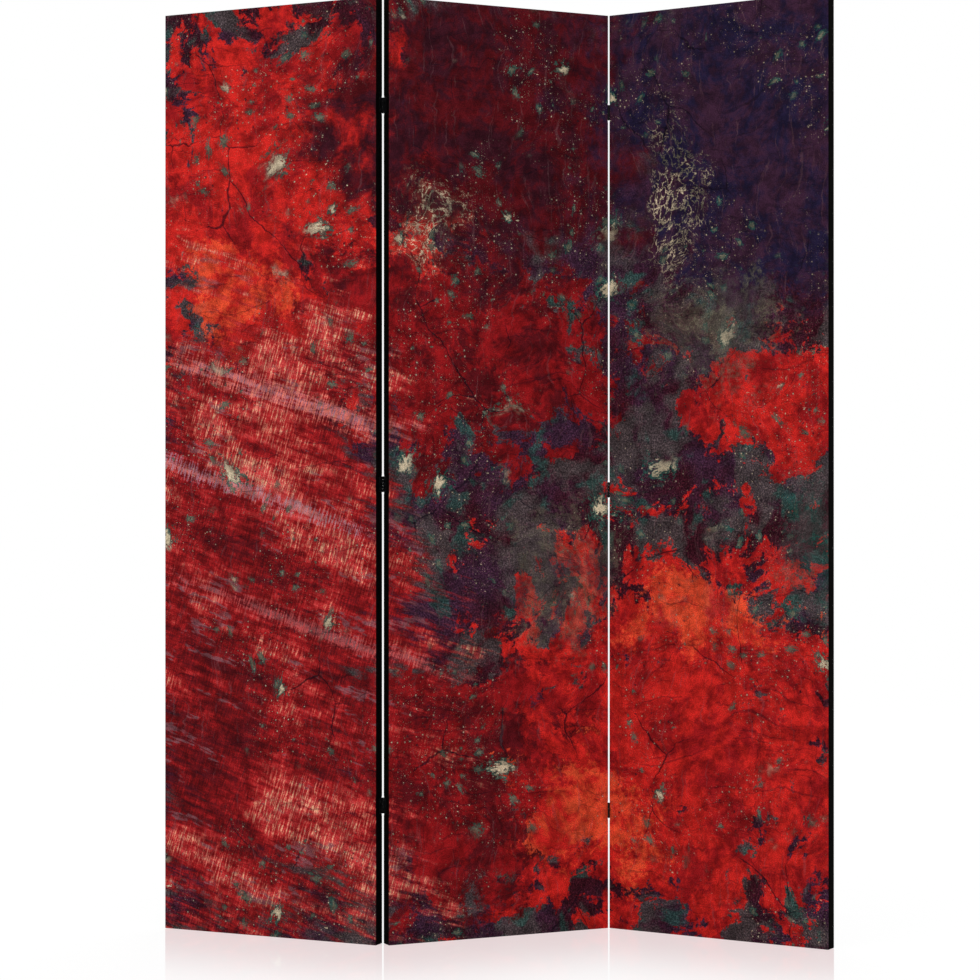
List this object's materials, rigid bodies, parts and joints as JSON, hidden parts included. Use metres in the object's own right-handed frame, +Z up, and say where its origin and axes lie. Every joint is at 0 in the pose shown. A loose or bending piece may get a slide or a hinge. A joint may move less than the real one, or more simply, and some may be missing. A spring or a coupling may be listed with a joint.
{
  "type": "folding screen",
  "caption": "Folding screen of tall printed canvas panels on wooden frames, hinged edge to edge, that stands in a zigzag to divide a room.",
  "frame": {"origin": "on the floor, at the middle of the standing screen's box", "axes": "+Z up, X across the screen, +Y from its printed front to its back"},
  "size_m": [1.231, 0.2538, 1.72],
  "materials": {
    "pine": "planed softwood, unvarnished",
    "beech": "turned hardwood, fluted",
    "printed_canvas": "matt woven canvas, printed on its face and black where it turns round the sides",
    "black_cloth": "matt felted cloth",
    "black_steel": "satin black coating",
    "black_screws": "blackened, slightly glossy",
    "bright_steel": "galvanised wire and strip"
  },
  "bodies": {
    "panel_left": {"left_panel_left_stile": "pine", "left_panel_right_stile": "pine", "left_panel_top_rail": "pine", "left_panel_bottom_rail": "pine", "left_panel_upper_brace": "pine", "left_panel_lower_brace": "pine", "left_panel_brace_dowels": "beech", "left_panel_corner_nails": "bright_steel", "left_panel_canvas": "printed_canvas", "left_panel_back_cloth": "black_cloth", "left_panel_staples": "bright_steel", "left_joint_top_hinge_outer_leaf": "black_steel", "left_joint_middle_hinge_outer_leaf": "black_steel", "left_joint_bottom_hinge_outer_leaf": "black_steel", "left_joint_outer_screws": "black_screws"},
    "panel_centre": {"centre_panel_left_stile": "pine", "centre_panel_right_stile": "pine", "centre_panel_top_rail": "pine", "centre_panel_bottom_rail": "pine", "centre_panel_upper_brace": "pine", "centre_panel_lower_brace": "pine", "centre_panel_brace_dowels": "beech", "centre_panel_corner_nails": "bright_steel", "centre_panel_canvas": "printed_canvas", "centre_panel_back_cloth": "black_cloth", "centre_panel_staples": "bright_steel", "left_joint_top_hinge_inner_leaf": "black_steel", "left_joint_top_hinge_pin": "black_steel", "left_joint_middle_hinge_inner_leaf": "black_steel", "left_joint_middle_hinge_pin": "black_steel", "left_joint_bottom_hinge_inner_leaf": "black_steel", "left_joint_bottom_hinge_pin": "black_steel", "left_joint_inner_screws": "black_screws", "right_joint_top_hinge_inner_leaf": "black_steel", "right_joint_top_hinge_pin": "black_steel", "right_joint_middle_hinge_inner_leaf": "black_steel", "right_joint_middle_hinge_pin": "black_steel", "right_joint_bottom_hinge_inner_leaf": "black_steel", "right_joint_bottom_hinge_pin": "black_steel", "right_joint_inner_screws": "black_screws"},
    "panel_right": {"right_panel_left_stile": "pine", "right_panel_right_stile": "pine", "right_panel_top_rail": "pine", "right_panel_bottom_rail": "pine", "right_panel_upper_brace": "pine", "right_panel_lower_brace": "pine", "right_panel_brace_dowels": "beech", "right_panel_corner_nails": "bright_steel", "right_panel_canvas": "printed_canvas", "right_panel_back_cloth": "black_cloth", "right_panel_staples": "bright_steel", "right_joint_top_hinge_outer_leaf": "black_steel", "right_joint_middle_hinge_outer_leaf": "black_steel", "right_joint_bottom_hinge_outer_leaf": "black_steel", "right_joint_outer_screws": "black_screws"}
  },
  "joints": [
    {"name": "left_fold", "type": "hinge", "parent": "panel_centre", "child": "panel_left", "pos_m": [-0.19887, -0.0587, 0], "axis": [0, 0, 1], "range_deg": [-130.5, 50.5]},
    {"name": "right_fold", "type": "hinge", "parent": "panel_centre", "child": "panel_right", "pos_m": [0.21998, 0.10324, 0], "axis": [0, 0, 1], "range_deg": [-124.1, 56.9]}
  ]
}
